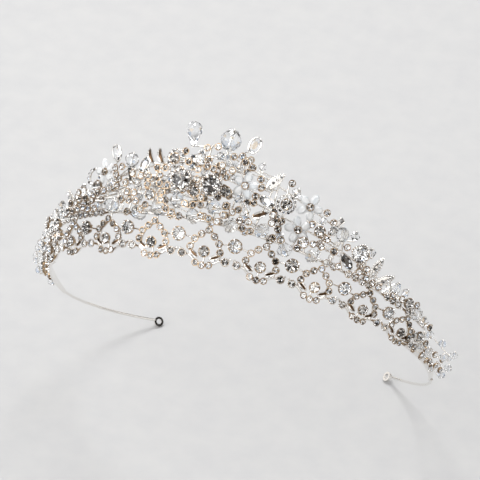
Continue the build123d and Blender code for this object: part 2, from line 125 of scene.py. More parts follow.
class TIARA_PG_stage(bpy.types.PropertyGroup):
    """Camera, light and floor"""

    azimuth: FloatProperty(
        name="Azimuth", description="Camera's turn round the tiara",
        default=math.radians(18.53), subtype="ANGLE")
    elevation: FloatProperty(
        name="Elevation", description="Camera's height above level",
        default=math.radians(37.6), subtype="ANGLE")
    roll: FloatProperty(
        name="Roll", description="Camera's roll", default=math.radians(1.66), subtype="ANGLE")
    distance: FloatProperty(name="Distance", description="Camera to aim", default=1.485, unit="LENGTH")
    lens: FloatProperty(name="Lens", description="Focal length in millimetres", default=326.5)
    aim: FloatVectorProperty(
        name="Aim", description="Point that the camera looks at",
        default=(0.0102, -0.0319, 0.0651), unit="LENGTH")
    floor: StringProperty(name="Floor", description="sRGB colour of the floor", default="#B2B2B2")
    floor_shade: StringProperty(
        name="Floor shade", description="sRGB colour of the floor's darker fibres", default="#AEAEAF")
    key_power: FloatProperty(name="Key", description="Power of the key light in watts", default=7.0)
    key_azimuth: FloatProperty(
        name="Key azimuth", description="Key light's turn round the tiara",
        default=math.radians(205), subtype="ANGLE")
    fill_power: FloatProperty(name="Fill", description="Power of the fill light in watts", default=4.0)
    fill_azimuth: FloatProperty(
        name="Fill azimuth", description="Fill light's turn round the tiara",
        default=math.radians(-50), subtype="ANGLE")
    sky: FloatProperty(name="Sky", description="Strength of the surrounding light", default=1.4)


# Materials

def linear(colour):
    """A #RRGGBB sRGB colour as linear red, green, blue and alpha."""
    parts = [int(colour[i:i + 2], 16) / 255 for i in (1, 3, 5)]
    return [c / 12.92 if c <= 0.04045 else ((c + 0.055) / 1.055) ** 2.4 for c in parts] + [1.0]


def add_node(tree, kind, settings=None, links=None):
    """Add a node, set its properties and inputs by name, and link its inputs to other sockets."""
    node = tree.nodes.new(kind)
    for name, value in (settings or {}).items():
        if name in node.inputs.keys():
            node.inputs[name].default_value = value
        else:
            setattr(node, name, value)
    for name, socket in (links or {}).items():
        tree.links.new(socket, node.inputs[name])
    return node


def colour_steps(node, steps):
    """Give a colour ramp its stops, each a place from 0 to 1 and an sRGB colour."""
    stops = node.color_ramp.elements
    while len(stops) < len(steps):
        stops.new(0.5)
    for stop, (place, colour) in zip(stops, steps):
        stop.position = place
        stop.color = linear(colour)


def new_material(name):
    """A material with only a Principled shader, and its tree."""
    material = bpy.data.materials.new(name)
    material.use_nodes = True
    tree = material.node_tree
    tree.nodes.clear()
    shader = add_node(tree, "ShaderNodeBsdfPrincipled")
    add_node(tree, "ShaderNodeOutputMaterial", links={"Surface": shader.outputs["BSDF"]})
    return material, tree, shader


def silver(name, light, dark, roughness, spread, grain_mm, bump):
    """A silver plate whose tone and polish drift across it, with a fine relief of grain_mm."""
    material, tree, shader = new_material(name)
    shader.inputs["Metallic"].default_value = 1.0
    place = add_node(tree, "ShaderNodeTexCoord").outputs["Object"]
    drift = add_node(tree, "ShaderNodeTexNoise", {"Scale": 1 / (3 * MM), "Detail": 3.0}, {"Vector": place})
    tone = add_node(tree, "ShaderNodeValToRGB", links={"Fac": drift.outputs["Fac"]})
    colour_steps(tone, [(0.38, light), (0.72, dark)])
    tree.links.new(tone.outputs["Color"], shader.inputs["Base Color"])
    # Real polishing marks are hundredths of a millimetre, too fine to show, so they are drawn at grain_mm
    marks = add_node(
        tree, "ShaderNodeTexNoise", {"Scale": 1 / (grain_mm * MM), "Detail": 2.0}, {"Vector": place})
    polish = add_node(
        tree, "ShaderNodeMapRange", {"To Min": roughness - spread, "To Max": roughness + spread},
        {"Value": marks.outputs["Fac"]})
    tree.links.new(polish.outputs["Result"], shader.inputs["Roughness"])
    relief = add_node(
        tree, "ShaderNodeBump", {"Strength": bump, "Distance": 0.05 * MM}, {"Height": marks.outputs["Fac"]})
    tree.links.new(relief.outputs["Normal"], shader.inputs["Normal"])
    return material


def polished_silver_plate(scene):
    """Barrel-polished silver plate: mirror-like, so it shows the room as streaks of white and dark."""
    metal = scene.tiara_metal
    return silver("polished_silver_plate", metal.bright, metal.warm, 0.11, 0.04, 0.6, 0.05)


def cast_silver_plate(scene):
    """Cast white metal under silver plate: softer highlights over a faint orange-peel skin."""
    metal = scene.tiara_metal
    return silver("cast_silver_plate", metal.bright, metal.warm, 0.2, 0.07, 0.25, 0.25)


def dull_plate_painted_shade(scene):
    """Silver plate that polishing never reached: dull, and coloured brown to dark brown as painted shade,
    which frames each stone in shade.
    """
    metal = scene.tiara_metal
    return silver("dull_plate_painted_shade", metal.warm, metal.painted_recess_shade, 0.3, 0.08, 0.3, 0.3)


def painted_shade_groove_plate(scene):
    """Silver plate painted dark in a leaf's hollow, as painted shade and dark reflection: it gives a dark
    streak between bright edges.
    """
    metal = scene.tiara_metal
    return silver("painted_shade_groove_plate", metal.painted_recess_shade, metal.painted_recess_shade, 0.2, 0.05, 0.3, 0.1)


def drawn_silver_wire(scene):
    """Wire drawn through a die and plated: bright, with fine lines that stretch the highlights."""
    metal = scene.tiara_metal
    return silver("drawn_silver_wire", metal.bright, metal.warm, 0.16, 0.05, 0.15, 0.12)


def glass(name, ior, roughness, steps, clearness=1.0):
    """Clear glass with a tint that changes from facet to facet; the crystals' tints are painted fire, flashes
    of colour given to facets at random.
    """
    material, tree, shader = new_material(name)
    shader.inputs["Transmission Weight"].default_value = clearness
    shader.inputs["IOR"].default_value = ior
    shader.inputs["Roughness"].default_value = roughness
    facet = add_node(tree, "ShaderNodeAttribute", {"attribute_name": "facet"})
    tint = add_node(tree, "ShaderNodeValToRGB", links={"Fac": facet.outputs["Fac"]})
    tint.color_ramp.interpolation = "CONSTANT"
    colour_steps(tint, steps)
    tree.links.new(tint.outputs["Color"], shader.inputs["Base Color"])
    return material


def machine_cut_crystal(scene):
    """Machine-cut lead crystal: sharp, dense and clear, with a painted flash of colour, painted fire, in a
    few facets.
    """
    crystal = scene.tiara_crystal
    steps = [(0, crystal.clear), (0.84, crystal.painted_fire_cool), (0.89, crystal.clear), (0.95, crystal.painted_fire_warm)]
    return glass("machine_cut_crystal", 1.56, 0.0, steps)


def fire_polished_glass(scene):
    """Pressed glass beads softened in the flame: clear, with slightly rounded reflections."""
    crystal = scene.tiara_crystal
    # Painted fire: a few facets are tinted cool or warm in place of flashes of dispersion
    steps = [(0, crystal.clear), (0.88, crystal.painted_fire_cool), (0.93, crystal.clear), (0.97, crystal.painted_fire_warm)]
    return glass("fire_polished_glass", 1.52, 0.03, steps)


def pressed_glass_petal(scene):
    """Pressed glass petals with a satin skin, which glow softly instead of flashing."""
    crystal = scene.tiara_crystal
    return glass("pressed_glass_petal", 1.5, 0.22, [(0, crystal.clear), (0.8, "#EDF2F6")], 0.55)


def foil_backing(scene):
    """Silvered foil behind the stones: facets picked at random are painted dark as painted shade, and the
    rest stay silver and mirror the light, so the stones sparkle.
    """
    crystal = scene.tiara_crystal
    material, tree, shader = new_material("foil_backing")
    shader.inputs["Metallic"].default_value = 1.0
    shader.inputs["Roughness"].default_value = 0.06
    facet = add_node(tree, "ShaderNodeAttribute", {"attribute_name": "shade"})
    tone = add_node(tree, "ShaderNodeValToRGB", links={"Fac": facet.outputs["Fac"]})
    tone.color_ramp.interpolation = "CONSTANT"
    # Painted shade: facets above 0.7 are dark, the rest silver
    colour_steps(tone, [(0, "#FFFFFF"), (0.55, "#D8D4CF"), (0.7, crystal.painted_foil_shade)])
    tree.links.new(tone.outputs["Color"], shader.inputs["Base Color"])
    return material


def matt_paper(scene):
    """Uncoated background paper: no gloss, so it takes only soft shadows."""
    material, tree, shader = new_material("matt_paper")
    shader.inputs["Roughness"].default_value = 0.95
    shader.inputs["Specular IOR Level"].default_value = 0.1
    place = add_node(tree, "ShaderNodeTexCoord").outputs["Object"]
    # The tooth of paper is about 0.2 mm, too fine to show from here, so it is drawn at 8 mm
    tooth = add_node(
        tree, "ShaderNodeTexNoise", {"Scale": 1 / (8 * MM), "Detail": 4.0}, {"Vector": place})
    tone = add_node(tree, "ShaderNodeValToRGB", links={"Fac": tooth.outputs["Fac"]})
    colour_steps(tone, [(0.3, scene.tiara_stage.floor), (0.7, scene.tiara_stage.floor_shade)])
    tree.links.new(tone.outputs["Color"], shader.inputs["Base Color"])
    return material


FINISHES = (
    polished_silver_plate, cast_silver_plate, dull_plate_painted_shade, painted_shade_groove_plate,
    drawn_silver_wire, machine_cut_crystal, fire_polished_glass, pressed_glass_petal, foil_backing,
    matt_paper)


def finish(name):
    """The material of that name, made the first time it is asked for."""
    made = bpy.data.materials.get(name)
    if made is None:
        made = {maker.__name__: maker for maker in FINISHES}[name](bpy.context.scene)
    return made


# Places: where each solid of a CAD node stands

def solids(node):
    """The separate solids of a CAD node, each as an array of its points in metres."""
    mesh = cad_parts[node].data
    points = np.empty(len(mesh.vertices) * 3)
    mesh.vertices.foreach_get("co", points)
    points, same = np.unique(points.reshape(-1, 3), axis=0, return_inverse=True)
    ends = np.empty(len(mesh.edges) * 2, int)
    mesh.edges.foreach_get("vertices", ends)
    start, end = same.reshape(-1)[ends].reshape(-1, 2).T
    group = np.arange(len(points))
    settled = False
    while not settled:
        lower = np.minimum(group[start], group[end])
        joined = group.copy()
        np.minimum.at(joined, start, lower)
        np.minimum.at(joined, end, lower)
        joined = joined[joined]
        settled = (joined == group).all()
        group = joined
    return [points[group == first] for first in np.unique(group)]


def face_axes(point):
    """Directions along the band, up the ornament face and out of it, beside a point."""
    face = bpy.context.scene.tiara_face
    worn = Matrix.Rotation(-face.worn_tilt, 3, "X")
    level = worn.transposed() @ Vector(point)
    around = math.atan2(level.x, -level.y)
    out = Vector((math.sin(around), -math.cos(around), 0))
    across = Vector((math.cos(around), math.sin(around), 0))
    rise = Vector((0, 0, 1))
    up = out * math.sin(face.flare) + rise * math.cos(face.flare)
    front = out * math.cos(face.flare) - rise * math.sin(face.flare)
    return [worn @ direction for direction in (across, up, front)]


def place_at(point, axes):
    """A placing matrix from an origin and three directions."""
    place = Matrix([list(axis) for axis in axes]).transposed().to_4x4()
    place.translation = point
    return place


def spans_along(points, axes):
    """Lowest and highest value of the points along each direction."""
    along = points @ np.array(axes).T
    return along.min(0), along.max(0)


def box_seat(points, axes):
    """A place in the middle of the points across, and at their back; also their size in millimetres."""
    low, high = spans_along(points, axes)
    middle = (low + high) / 2
    origin = sum((axis * value for axis, value in zip(axes, (middle[0], middle[1], low[2]))), Vector())
    return place_at(origin, axes), (high - low) / MM


def face_seat(points):
    """The seat of a solid that lies square on the ornament face."""
    return box_seat(points, face_axes(points.mean(0)))


def main_axes(points):
    """Directions across, along and out of a long flat solid."""
    directions = np.linalg.eigh(np.cov(points.T))[1]
    up, front = face_axes(points.mean(0))[1:]
    long_axis = Vector(directions[:, 2])
    thin_axis = Vector(directions[:, 0])
    if long_axis.dot(up) < 0:
        long_axis.negate()
    if thin_axis.dot(front) < 0:
        thin_axis.negate()
    return [long_axis.cross(thin_axis), long_axis, thin_axis]


def lying_seat(points):
    """The seat of a long flat solid: x across it, y along it and z out of it."""
    return box_seat(points, main_axes(points))


def turned_seat(points):
    """The seat of a turned solid: z along its own axis, the origin in its middle."""
    spread, directions = np.linalg.eigh(np.cov(points.T))
    odd = 2 if spread[2] - spread[1] > spread[1] - spread[0] else 0
    axis = Vector(directions[:, odd])
    up, front = face_axes(points.mean(0))[1:]
    if axis.dot(up) < 0:
        axis.negate()
    side = axis.cross(front).normalized()
    place, size = box_seat(points, [side, axis.cross(side), axis])
    place.translation += axis * size[2] * MM / 2
    return place, size


# Shapes, in millimetres: each is points, faces and the number of each face's finish

def turned(profile, sides, staggered=False, closed=False, finish_number=0, radius_at=None):
    """A faceted solid of revolution about z. profile is radius and height from the back to the front."""
    points, faces = [], []
    for ring, (radius, height) in enumerate(profile):
        for side in range(sides):
            turn = 2 * math.pi * (side + 0.5 * (staggered and ring % 2)) / sides
            reach = radius * (radius_at(turn) if radius_at else 1)
            points.append((reach * math.cos(turn), reach * math.sin(turn), height))
    rings = len(profile)
    for ring in range(rings if closed else rings - 1):
        low, high = ring * sides, (ring + 1) % rings * sides
        for side in range(sides):
            after = (side + 1) % sides
            if not staggered:
                faces.append((low + side, low + after, high + after, high + side))
            elif ring % 2 == 0:
                faces.append((low + side, low + after, high + side))
                faces.append((low + after, high + after, high + side))
            else:
                faces.append((low + side, high + after, high + side))
                faces.append((low + side, low + after, high + after))
    if not closed:
        faces.append(tuple(reversed(range(sides))))
        faces.append(tuple((rings - 1) * sides + side for side in range(sides)))
    return points, faces, [finish_number] * len(faces)


def wire(path, radii, sides=6, closed=False):
    """A round wire along a path; radii is one radius or one for each point."""
    path = [Vector(point) for point in path]
    count = len(path)
    points, faces = [], []
    normal = None
    for i, point in enumerate(path):
        before = path[i - 1] if i or closed else point
        after = path[(i + 1) % count] if closed or i < count - 1 else point
        direction = (after - before).normalized()
        normal = direction.orthogonal() if normal is None else normal
        normal = (normal - direction * normal.dot(direction)).normalized()
        side_axis = direction.cross(normal)
        radius = radii[i] if isinstance(radii, (list, tuple)) else radii
        for side in range(sides):
            turn = 2 * math.pi * side / sides
            spoke = normal * math.cos(turn) + side_axis * math.sin(turn)
            points.append(tuple(point + spoke * radius))
    for i in range(count if closed else count - 1):
        low, high = i * sides, (i + 1) % count * sides
        for side in range(sides):
            after = (side + 1) % sides
            faces.append((low + side, low + after, high + after, high + side))
    if not closed:
        faces.append(tuple(reversed(range(sides))))
        faces.append(tuple((count - 1) * sides + side for side in range(sides)))
    return points, faces, [0] * len(faces)


def grain(radius, centre):
    """One round grain of a beaded edge."""
    profile = [(radius * math.sin(math.radians(a)), -radius * math.cos(math.radians(a)))
               for a in (20, 60, 90, 120, 160)]
    points, faces, finishes = turned(profile, 8)
    return [tuple(Vector(p) + Vector(centre)) for p in points], faces, finishes


def joined(*parts):
    """Several shapes as one."""
    points, faces, finishes = [], [], []
    for part_points, part_faces, part_finishes in parts:
        start = len(points)
        points += part_points
        faces += [tuple(start + corner for corner in face) for face in part_faces]
        finishes += part_finishes
    return points, faces, finishes


def superellipse(power):
    """Outline of a rounded square as a share of its corner radius."""
    widest = 2 ** (0.5 - 1 / power)

    def share(turn):
        x, y = abs(math.cos(turn + math.pi / 4)), abs(math.sin(turn + math.pi / 4))
        return (x ** power + y ** power) ** (-1 / power) / widest

    return share


def brilliant(size, height, outline, table):
    """A brilliant cut: table, stars, kites, girdle, and a foiled pavilion with its point at the origin."""
    radius = size / 2
    girdle, band, top = height * 0.56, height * 0.07, height
    points = [(0, 0, 0)]

    def ring(count, share, z, offset=0.0):
        start = len(points)
        for i in range(count):
            turn = 2 * math.pi * (i + offset) / count
            reach = radius * share * (outline(turn) if outline else 1)
            points.append((reach * math.cos(turn), reach * math.sin(turn), z))
        return start

    pavilion = ring(8, 0.36, girdle * 0.4, 0.5)
    low = ring(16, 1.0, girdle)
    high = ring(16, 1.0, girdle + band)
    star = ring(8, (table + 1) / 2 + 0.02, girdle + band + (top - girdle - band) * 0.62, 0.5)
    flat = ring(8, table, top)
    faces, finishes = [], []
    for i in range(8):
        after, before = (i + 1) % 8, (i - 1) % 8
        main, half, nxt = 2 * i, 2 * i + 1, (2 * i + 2) % 16
        faces += [(flat + i, flat + after, star + i), (flat + i, star + i, high + main, star + before)]
        faces += [(star + i, high + half, high + main), (star + i, high + nxt, high + half)]
        faces.append((high + main, high + half, low + half, low + main))
        faces.append((high + half, high + nxt, low + nxt, low + half))
        finishes += [0] * 6
        faces += [(pavilion + i, low + main, low + half), (pavilion + i, low + half, low + nxt)]
        faces += [(0, pavilion + before, low + main, pavilion + i)]
        finishes += [1] * 3
    faces.append(tuple(flat + i for i in range(8)))
    finishes.append(0)
    return points, faces, finishes


def single_cut(size, height, table):
    """The plain cut of a small stone: eight facets above the girdle and eight foiled ones below."""
    radius = size / 2
    profile = [(radius * 0.04, 0), (radius, height * 0.56), (radius, height * 0.62), (radius * table, height)]
    points, faces, finishes = turned(profile, 8)
    return points, faces, [1] * 8 + [0] * 16 + [1, 0]


def claw_setting(size, depth, claws, grains, claw_share, grain_radius, outline, turn_by):
    """A basket with bent claws over the stone's edge. The basket is finish 1, dull plate with painted shade
    round the stone.
    """
    radius = size / 2
    wall = min(0.42, size * 0.16)
    rim = depth * 0.86
    sides = 20
    outer = radius + 0.28
    hole = radius * 0.3
    basket = [(hole, 0), (radius * 0.62, 0.0), (outer * 0.93, rim * 0.55), (outer, rim),
              (outer - wall, rim), (radius * 0.6, rim * 0.45), (radius * 0.28, 0.25)]
    # Finish 1 paints shade into the basket and its hole
    parts = [turned(basket, sides, closed=True, finish_number=1, radius_at=outline),
             turned([(hole, 0.02), (hole, 0.22)], sides, finish_number=1)]
    thick = max(0.13, size * claw_share / 2)
    top = depth * 1.26
    bend = [(radius * 0.7, 0.1), (radius, rim * 0.6), (radius + 0.14, depth), (radius, top * 0.96),
            (radius * 0.8, top * 1.03)]
    for claw in range(claws):
        turn = 2 * math.pi * (claw + 0.5) / claws + turn_by
        reach = outline(turn) if outline else 1
        path = [(r * reach * math.cos(turn), r * reach * math.sin(turn), z) for r, z in bend]
        parts.append(wire(path, [thick, thick, thick * 1.05, thick * 1.25, thick * 0.9]))
        tip = radius * 0.86 * reach
        parts.append(grain(thick * 1.35, (tip * math.cos(turn), tip * math.sin(turn), top)))
    for i in range(grains):
        turn = 2 * math.pi * i / grains
        reach = (outer - grain_radius * 0.3) * (outline(turn) if outline else 1)
        middle = reach * math.cos(turn), reach * math.sin(turn), rim + grain_radius * 0.4
        parts.append(grain(grain_radius, middle))
    return joined(*parts)


def drilled_bead(width, length, rows, sides, waist=1.0, hole=0.32):
    """A faceted bead with a hole along z. A waist of 0 gives a bicone, and any other a barrel."""
    half = length / 2
    end_share = 0.42
    profile = [(hole, -half)]
    for row in range(rows):
        share = -1 + 2 * row / (rows - 1)
        swell = 1 - abs(share) ** (1.0 if waist == 0 else 2.2) * (1 - end_share)
        profile.append((width / 2 * swell, half * share * (0.94 if abs(share) < 1 else 1)))
    profile.append((hole, half))
    return turned(profile, sides, staggered=waist > 0 and len(profile) % 2 == 0, closed=True)


def pear_drop(width, length, sides):
    """A faceted pear: pointed at the bottom, round on top, its middle at the origin."""
    ball = length - width / 2
    profile = [(width * 0.06, 0), (width * 0.17, ball * 0.22), (width * 0.33, ball * 0.52)]
    profile.append((width * 0.46, ball * 0.8))
    profile += [(width / 2 * math.cos(math.radians(a)), ball + width / 2 * math.sin(math.radians(a)))
                for a in (0, 26, 50, 76)]
    return turned([(r, z - length / 2) for r, z in profile], sides, staggered=True)


def leaf(length, width, thick, dish=0.0, curl=0.0, groove=0, rows=14, columns=8):
    """A pointed leaf along y, its middle at the origin. A groove down its front is finish 1, which takes a
    painted dark streak of shade and reflection.
    """
    tip_half = 0.04
    points, faces, finishes = [], [], []
    for layer in (1, 0):
        for row in range(rows + 1):
            share = row / rows
            half = tip_half
            if 0 < share < 1:
                half = max(tip_half, width / 2 * math.sin(math.pi * share ** 0.92) ** 0.8)
            for column in range(columns + 1):
                v = -1 + 2 * column / columns
                height = dish * v * v * half + curl * math.sin(math.pi * share)
                height -= curl * share * share * 1.5
                if layer:
                    height += thick * (0.35 + 0.65 * (1 - v * v))
                    height -= groove * (1 - v * v) * math.sin(math.pi * share)
                points.append((v * half, (share - 0.5) * length, height))
    across = columns + 1
    below = (rows + 1) * across
    for row in range(rows):
        for column in range(columns):
            corner = row * across + column
            top = (corner, corner + 1, corner + 1 + across, corner + across)
            faces.append(top)
            faces.append(tuple(below + i for i in reversed(top)))
            # The floor of the groove gets finish 1, a painted dark streak of shade and reflection
            in_groove = groove and 2 <= column < columns - 2 and 1 < row < rows - 2
            finishes += [1 if in_groove else 0, 0]
    border = list(range(columns)) + [row * across + columns for row in range(rows)]
    border += [rows * across + column for column in range(columns, 0, -1)]
    border += [row * across for row in range(rows, 0, -1)]
    for i, corner in enumerate(border):
        after = border[(i + 1) % len(border)]
        faces.append((after, corner, corner + below, after + below))
        finishes.append(0)
    return points, faces, finishes


def lens_petal(length, width, thick, finish_number=0):
    """A cut glass petal along y: an oval with a raised facet down its middle."""
    outline = []
    count = 12
    for i in range(count):
        turn = 2 * math.pi * i / count
        outline.append((width / 2 * math.cos(turn), length / 2 * math.sin(turn)))
    points = [(x * 0.55, y * 0.55, 0) for x, y in outline] + [(x, y, thick * 0.45) for x, y in outline]
    points += [(x * 0.5, y * 0.6, thick) for x, y in outline]
    faces = [tuple(reversed(range(count))), tuple(2 * count + i for i in range(count))]
    for ring in range(2):
        for i in range(count):
            after = (i + 1) % count
            low, high = ring * count, (ring + 1) * count
            faces += [(low + i, low + after, high + i), (low + after, high + after, high + i)]
    return points, faces, [finish_number] * len(faces)


def long_stone(outline, height):
    """A step-cut stone with any outline, foiled behind. Each layer is its share of the width and height."""
    count = len(outline)
    layers = ((0.45, 0.0), (1.0, 0.45), (1.0, 0.55), (0.8, 0.8), (0.55, 1.0))
    points = [(x * share, y * share, height * z) for share, z in layers for x, y in outline]
    faces, finishes = [tuple(reversed(range(count)))], [1]
    for layer in range(len(layers) - 1):
        for i in range(count):
            after = (i + 1) % count
            low, high = layer * count, (layer + 1) * count
            faces.append((low + i, low + after, high + after, high + i))
            finishes.append(1 if layer == 0 else 0)
    faces.append(tuple((len(layers) - 1) * count + i for i in range(count)))
    finishes.append(0)
    return points, faces, finishes


def baguette_outline(width, length):
    """A rectangle with cut corners."""
    x, y, cut = width / 2, length / 2, min(width, length) * 0.14
    right = [(x, cut - y), (x, y - cut), (x - cut, y)]
    left = [(cut - x, y), (-x, y - cut), (-x, cut - y)]
    return right + left + [(cut - x, -y), (x - cut, -y)]


def navette_outline(width, length, steps=6):
    """A pointed oval."""
    turns = [math.pi * (i / steps - 0.5) for i in range(steps + 1)]
    half = [(width / 2 * math.cos(turn) ** 1.15, length / 2 * math.sin(turn)) for turn in turns]
    return half + [(-x, y) for x, y in reversed(half[1:-1])]


def tray_setting(outline, depth, claws, thick=0.2):
    """A bezel that follows the outline, with a claw at each place given."""
    path = [(x * 1.04, y * 1.03, depth * 0.72) for x, y in outline]
    count = len(outline)
    points = [(x * 0.8, y * 0.85, 0) for x, y in outline]
    points += [(x * 1.02, y * 1.02, depth * 0.28) for x, y in outline]
    faces = [tuple(reversed(range(count))), tuple(count + i for i in range(count))]
    faces += [(i, (i + 1) % count, count + (i + 1) % count, count + i) for i in range(count)]
    # The top of the tray, under the stone, is finish 1: dull plate with painted shade
    body = points, faces, [0, 1] + [0] * count
    parts = [body, wire(path, thick, closed=True)]
    for x, y in claws:
        bend = [(x * 0.95, y * 0.95, 0.2), (x * 1.05, y * 1.03, depth * 0.8),
                (x * 0.86, y * 0.9, depth * 1.3)]
        parts.append(wire(bend, [thick, thick * 1.15, thick]))
        parts.append(grain(thick * 1.4, (x * 0.9, y * 0.93, depth * 1.25)))
    return joined(*parts)


# Pieces: many placed shapes as one named object that stands for its CAD node

class Work:
    """Placed shapes, gathered into one mesh."""

    def __init__(self):
        self.points, self.faces, self.finishes, self.counts = [], [], [], []

    def add(self, part, place):
        """Add a shape in millimetres at a place in metres."""
        points, faces, finishes = part
        start = len(self.points)
        self.points += [place @ (Vector(point) * MM) for point in points]
        self.faces += [tuple(start + corner for corner in face) for face in faces]
        self.finishes += finishes
        self.counts.append(len(faces))

    def piece(self, name, node, slot, materials, smooth=None):
        """Make the object, give it its finishes, and set it in place of its CAD node."""
        mesh = bpy.data.meshes.new(name)
        mesh.from_pydata([tuple(point) for point in self.points], [], self.faces)
        mesh.polygons.foreach_set("material_index", self.finishes)
        # facet picks a face's tint, and shade picks its painted tone on the foil, silver or painted shade,
        # lighter or darker for a whole stone
        draw = random.Random(name)
        facets, painted_shades = [], []
        for count in self.counts:
            bias = draw.uniform(0.7, 1.3)
            facets += [draw.random() for face in range(count)]
            painted_shades += [facet * bias for facet in facets[-count:]]
        mesh.attributes.new("facet", "FLOAT", "FACE").data.foreach_set("value", facets)
        mesh.attributes.new("shade", "FLOAT", "FACE").data.foreach_set("value", painted_shades)
        work = bmesh.new()
        work.from_mesh(mesh)
        bmesh.ops.dissolve_degenerate(work, dist=MM * 0.004, edges=work.edges)
        bmesh.ops.recalc_face_normals(work, faces=work.faces)
        work.to_mesh(mesh)
        work.free()
        if smooth is not None:
            mesh.shade_smooth()
            mesh.set_sharp_from_angle(angle=math.radians(smooth))
        for material in materials:
            mesh.materials.append(finish(material))
        made = bpy.data.objects.new(name, mesh)
        bpy.context.scene.collection.objects.link(made)
        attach(made, BODY)
        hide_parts(node)


def copies(node, seat_of, shape):
    """Set a shape at every solid of a node. shape takes the solid's size and its number."""
    work = Work()
    for number, points in enumerate(solids(node)):
        place, size = seat_of(points)
        work.add(shape(size, number), place)
    return work


# Operators

class TIARA_OT_band(bpy.types.Operator):
    """Finish the band, its wires and its frames"""

    bl_idname = "tiara.band"
    bl_label = "Band and wires"

    def execute(self, context):
        finishes = {
            "drawn_silver_wire": (
                "left_wire_arm", "right_wire_arm", "lower_cross_wire", "upper_cross_wire", "spray_stems",
                "spray_posts", "bead_pins", "spray_rail", "gallery_links"),
            "cast_silver_plate": (
                "left_end_eyelet", "right_end_eyelet", "left_end_plate", "right_end_plate", "arch_frames",
                "swag_frames"),
        }
        for name, nodes in finishes.items():
            for node in nodes:
                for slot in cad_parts[node].material_slots:
                    slot.link = "OBJECT"
                    slot.material = finish(name)
        return {"FINISHED"}


class TIARA_OT_settings(bpy.types.Operator):
    """Make the claw settings that hold the round stones"""

    bl_idname = "tiara.settings"
    bl_label = "Claw settings"

    def execute(self, context):
        metal = context.scene.tiara_metal
        kinds = (
            ("arch_claw_cups", "arch_claw_settings", 4, 0, None),
            ("heart_claw_cups", "heart_claw_settings", 6, 0, None),
            ("span_claw_cups", "span_claw_settings", 8, 0, None),
            ("rim_bezels", "rim_bead_settings", 4, 0, None),
            ("drop_bezels", "drop_bead_settings", 4, 12, None),
            ("small_claw_cups", "small_claw_settings", 4, 0, None),
            ("accent_claw_cups", "accent_claw_settings", 6, 0, None),
            ("flower_claw_cups", "flower_claw_settings", 5, 0, None),
            ("vine_claw_cups", "vine_claw_settings", 4, 8, None),
            ("solitaire_cups", "solitaire_claw_settings", 8, 28, None),
            ("cushion_cup", "cushion_claw_setting", 4, 24, superellipse(CUSHION_POWER)),
        )
        for node, name, claws, grains, outline in kinds:
            draw = random.Random(name)

            def shape(size, number):
                turn_by = 0 if outline else draw.uniform(-0.3, 0.3)
                return claw_setting(size[0] - 0.4, size[2], claws, grains, metal.claw_width,
                                    metal.bead_grain, outline, turn_by)

            work = copies(node, face_seat, shape)
            # The second finish is the dull plate with painted shade inside each basket
            work.piece(name, node, "cast_silver_plate",
                       ["cast_silver_plate", "dull_plate_painted_shade"], smooth=40)
        return {"FINISHED"}


class TIARA_OT_stones(bpy.types.Operator):
    """Cut the round stones and the pave"""

    bl_idname = "tiara.stones"
    bl_label = "Cut stones"

    def execute(self, context):
        table = context.scene.tiara_crystal.table
        largest_single_cut = 3.0
        nodes = ("arch_stones", "heart_stones", "span_stones", "rim_stones", "drop_stones", "small_stones",
                 "accent_stones", "flower_stones", "vine_stones", "solitaire_stones", "cushion_stone",
                 "ring_stones", "pave_stones")
        for node in nodes:
            outline = superellipse(CUSHION_POWER) if node == "cushion_stone" else None
            draw = random.Random(node)
            work = Work()
            for points in solids(node):
                place, size = face_seat(points)
                place = place @ Matrix.Rotation(0 if outline else draw.uniform(0, 1), 4, "Z")
                if size[0] < largest_single_cut:
                    work.add(single_cut(size[0], size[2], table), place)
                else:
                    work.add(brilliant(size[0], size[2], outline, table), place)
            work.piece(node.replace("stone", "brilliant"), node, "cut_crystal",
                       ["machine_cut_crystal", "foil_backing"])
        return {"FINISHED"}


class TIARA_OT_beads(bpy.types.Operator):
    """Cut the glass beads"""

    bl_idname = "tiara.beads"
    bl_label = "Beads"

    def execute(self, context):
        sides = context.scene.tiara_crystal.bead_sides
        kinds = (
            ("round_beads", "round_cut_beads", 4, sides, 1.0),
            ("oval_beads", "oval_cut_beads", 4, sides, 1.0),
            ("bicone_beads", "bicone_cut_beads", 3, sides, 0.0),
            ("crystal_rondelles", "cut_rondelles", 4, sides + 4, 1.0),
            ("large_round_beads", "large_cut_beads", 6, sides + 2, 1.0),
            ("crown_ball", "crown_cut_ball", 8, sides + 4, 1.0),
        )
        for node, name, rows, count, waist in kinds:
            work = copies(node, turned_seat,
                          lambda size, number: drilled_bead(size[0], size[2], rows, count, waist))
            work.piece(name, node, "glass_bead", ["fire_polished_glass"])
        work = copies("crown_teardrop", turned_seat,
                      lambda size, number: pear_drop(size[0], size[2], 10))
        work.piece("crown_cut_teardrop", "crown_teardrop", "cut_crystal", ["machine_cut_crystal"])
        return {"FINISHED"}


